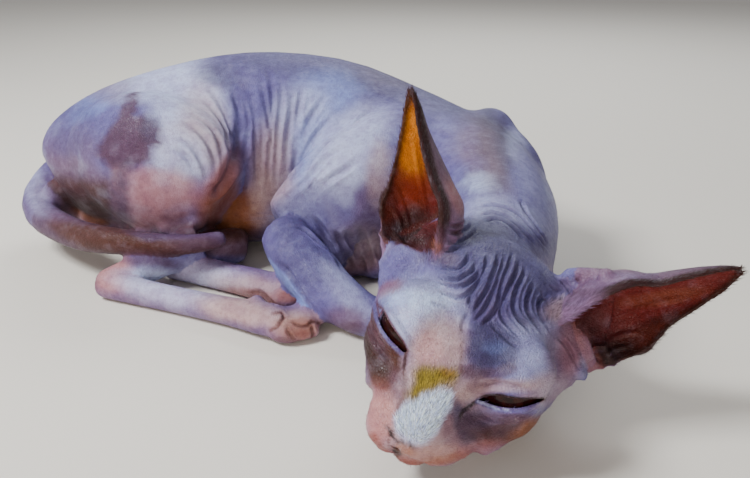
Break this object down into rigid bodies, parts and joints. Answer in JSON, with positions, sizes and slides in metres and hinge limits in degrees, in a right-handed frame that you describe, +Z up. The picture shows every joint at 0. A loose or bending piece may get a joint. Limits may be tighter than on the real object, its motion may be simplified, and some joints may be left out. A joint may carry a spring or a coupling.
{
  "type": "sleeping cat model",
  "caption": "Life-size hairless cat of the sphynx kind, curled up on its side with its head laid down in front of its chest, tail along its feet and both ears raised.",
  "frame": {"origin": "middle of the bounding box at floor level", "axes": "+X from the rump towards the shoulders, +Y from the face towards the back, +Z up from the floor the cat lies on"},
  "size_m": [0.3352, 0.3082, 0.1216],
  "materials": {
    "skin": "bare wrinkled skin, blue-grey with cream and pink areas",
    "pale_skin": "bare pink skin",
    "tail_skin": "bare grey-brown skin",
    "ear_skin": "thin bare skin, dark red-brown inside",
    "eye": "wet and dark"
  },
  "bodies": {
    "root": {"torso": "skin", "neck": "skin", "head": "skin", "thigh_right": "skin", "upper_arm_right": "skin", "upper_arm_left": "skin", "forearm_right": "skin", "forearm_left": "skin", "shank_right": "pale_skin", "shank_left": "pale_skin", "foot_right": "pale_skin", "foot_left": "pale_skin", "paw_right": "pale_skin", "paw_left": "pale_skin", "tail_root": "tail_skin", "tail_middle": "tail_skin", "tail_tip": "tail_skin", "ear_right": "ear_skin", "ear_left": "ear_skin", "eye_right": "eye", "eye_left": "eye"}
  },
  "joints": []
}
